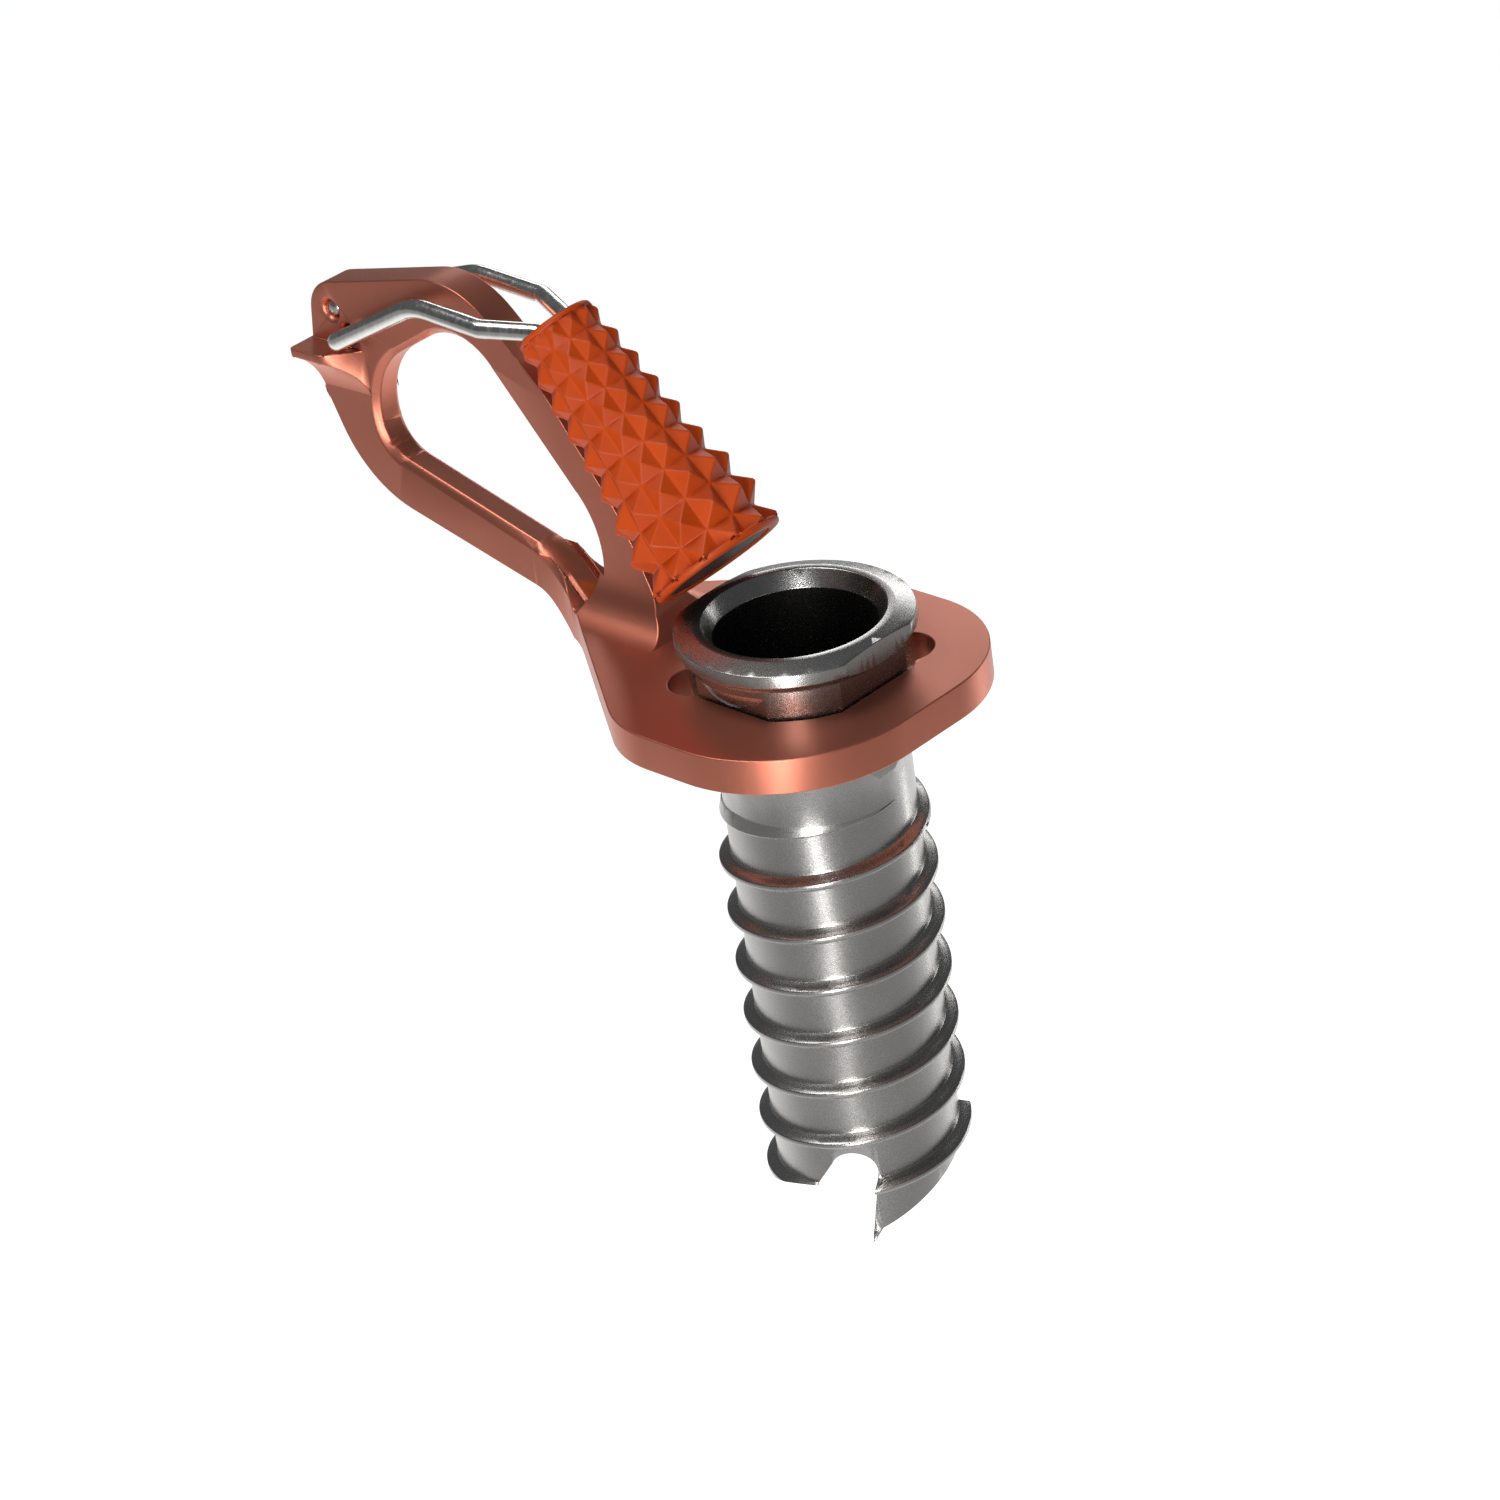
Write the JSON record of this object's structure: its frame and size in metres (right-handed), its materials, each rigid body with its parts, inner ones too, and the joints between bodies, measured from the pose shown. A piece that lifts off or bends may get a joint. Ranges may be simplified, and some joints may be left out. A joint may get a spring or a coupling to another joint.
{
  "type": "ice screw",
  "caption": "Stubby ice screw: threaded toothed tube, orange slotted hanger with carabiner eye, and a fold-away wire crank with a studded orange knob.",
  "frame": {"origin": "centre of the flange's top face, on the screw axis", "axes": "+Z along the screw axis towards the head; -X along the hanger arm; +Y to the left of a viewer who looks along +X"},
  "size_m": [0.0782, 0.0348, 0.0918],
  "materials": {
    "steel_tube": "bead-blasted satin steel with bright thread crests",
    "orange_anodised": "satin copper-orange anodising, brighter at the rounded edges",
    "spring_wire": "polished stainless spring wire",
    "orange_rubber": "soft matt orange rubber",
    "dark_plastic": "matt black plastic",
    "washer_steel": "plain steel"
  },
  "bodies": {
    "screw": {"screw_tube": "steel_tube"},
    "hanger_body": {"hanger": "orange_anodised", "rear_wire_end": "spring_wire"},
    "crank": {"crank_wire": "spring_wire", "spindle_bush": "dark_plastic", "retaining_washer": "washer_steel"},
    "knob": {"knob_core": "dark_plastic", "knob_grip": "orange_rubber", "end_cap": "dark_plastic"}
  },
  "joints": [
    {"name": "hanger_slide", "type": "slide", "parent": "screw", "child": "hanger_body", "axis": [0, 0, 1], "range_m": [-0.0005, 0.0004]},
    {"name": "crank_fold", "type": "hinge", "parent": "hanger_body", "child": "crank", "pos_m": [-0.05607, 0, 0.01748], "axis": [0, -1, 0], "range_deg": [0, 140]},
    {"name": "knob_spin", "type": "hinge", "parent": "crank", "child": "knob", "pos_m": [-0.02716, 0, 0.02413], "axis": [0.65, 0, -0.76], "continuous": true}
  ]
}
